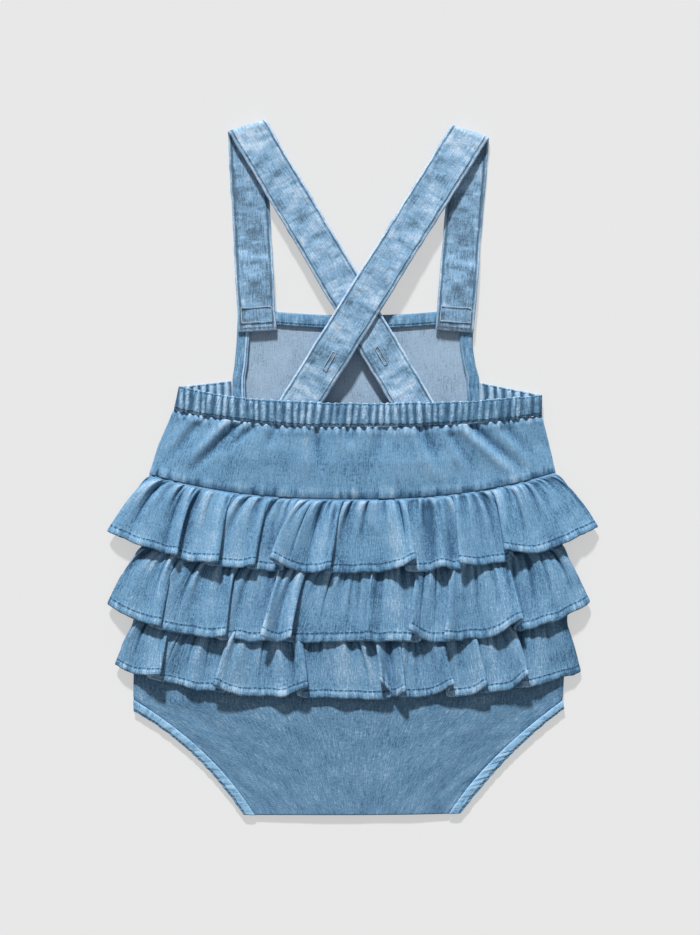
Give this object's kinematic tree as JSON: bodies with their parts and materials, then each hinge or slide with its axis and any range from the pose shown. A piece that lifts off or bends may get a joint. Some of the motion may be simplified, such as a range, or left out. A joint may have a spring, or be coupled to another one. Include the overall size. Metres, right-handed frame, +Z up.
{
  "type": "denim ruffle bodysuit",
  "caption": "Baby's sleeveless denim bodysuit laid flat on its front: gathered ruffles across the back, an elastic waist and crossed shoulder straps.",
  "frame": {"origin": "middle of the garment's box, at the surface it lies on", "axes": "+Y from the crotch to the shoulder straps, +X to the right as one looks down on the back, +Z up from the surface it lies on"},
  "size_m": [0.3112, 0.4462, 0.0186],
  "materials": {
    "denim": "light blue denim, right side out, matte",
    "denim_worn": "light blue denim, paler where it is folded and worn, matte",
    "denim_inside": "wrong side of light blue denim, greyer, matte",
    "button": "off-white, slightly glossy"
  },
  "bodies": {
    "root": {"front_body": "denim_inside", "bib_top_hem": "denim", "bib_facing_left": "denim", "bib_facing_right": "denim", "side_band_left": "denim", "side_band_right": "denim", "back_seat": "denim", "back_yoke": "denim", "back_casing": "denim", "front_binding_left": "denim_worn", "back_binding_left": "denim_worn", "front_binding_right": "denim_worn", "back_binding_right": "denim_worn", "ruffle_1": "denim", "ruffle_2": "denim", "ruffle_3": "denim", "strap_left": "denim_worn", "button_left": "button", "strap_right": "denim_worn", "button_right": "button"}
  },
  "joints": []
}
